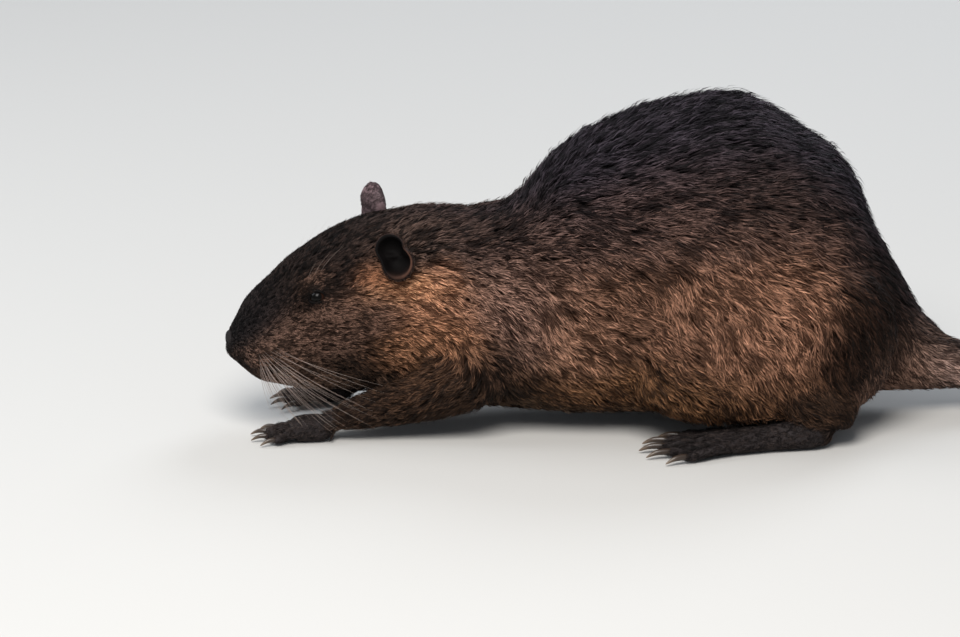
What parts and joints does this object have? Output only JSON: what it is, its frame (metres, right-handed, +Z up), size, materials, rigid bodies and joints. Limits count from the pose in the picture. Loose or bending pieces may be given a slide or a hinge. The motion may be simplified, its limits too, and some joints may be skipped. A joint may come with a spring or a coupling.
{
  "type": "coypu",
  "caption": "Life-size still model of a coypu crouching to feed: arched back, low blunt head, small ears, clawed and webbed feet, round tail laid out behind.",
  "frame": {"origin": "middle of the animal's box at floor level, under the haunches' front", "axes": "+X from the nose towards the tail, +Y to the animal's right, +Z up; the soles rest on Z = 0"},
  "size_m": [0.8346, 0.2202, 0.2315],
  "materials": {
    "coat": "dense fur, glossy guard hairs",
    "tail": "scaly skin with sparse bristles",
    "ear": "thin dark skin",
    "eye": "wet and glossy",
    "nose": "damp, fine grained",
    "foot": "bare skin, finely scaled",
    "claw": "horn, satin"
  },
  "bodies": {
    "root": {"head": "coat", "neck": "coat", "trunk": "coat", "tail_base": "tail", "tail_middle": "tail", "tail_tip": "tail", "left_eye": "eye", "right_eye": "eye", "nose": "nose", "left_ear": "ear", "right_ear": "ear", "left_foreleg": "coat", "left_hindleg": "coat", "right_foreleg": "coat", "right_hindleg": "coat", "left_forefoot": "foot", "left_forefoot_claw_1": "claw", "left_forefoot_claw_2": "claw", "left_forefoot_claw_3": "claw", "left_forefoot_claw_4": "claw", "left_hindfoot": "foot", "left_hindfoot_claw_1": "claw", "left_hindfoot_claw_2": "claw", "left_hindfoot_claw_3": "claw", "left_hindfoot_claw_4": "claw", "left_hindfoot_claw_5": "claw", "right_forefoot": "foot", "right_forefoot_claw_1": "claw", "right_forefoot_claw_2": "claw", "right_forefoot_claw_3": "claw", "right_forefoot_claw_4": "claw", "right_hindfoot": "foot", "right_hindfoot_claw_1": "claw", "right_hindfoot_claw_2": "claw", "right_hindfoot_claw_3": "claw", "right_hindfoot_claw_4": "claw", "right_hindfoot_claw_5": "claw"}
  },
  "joints": []
}
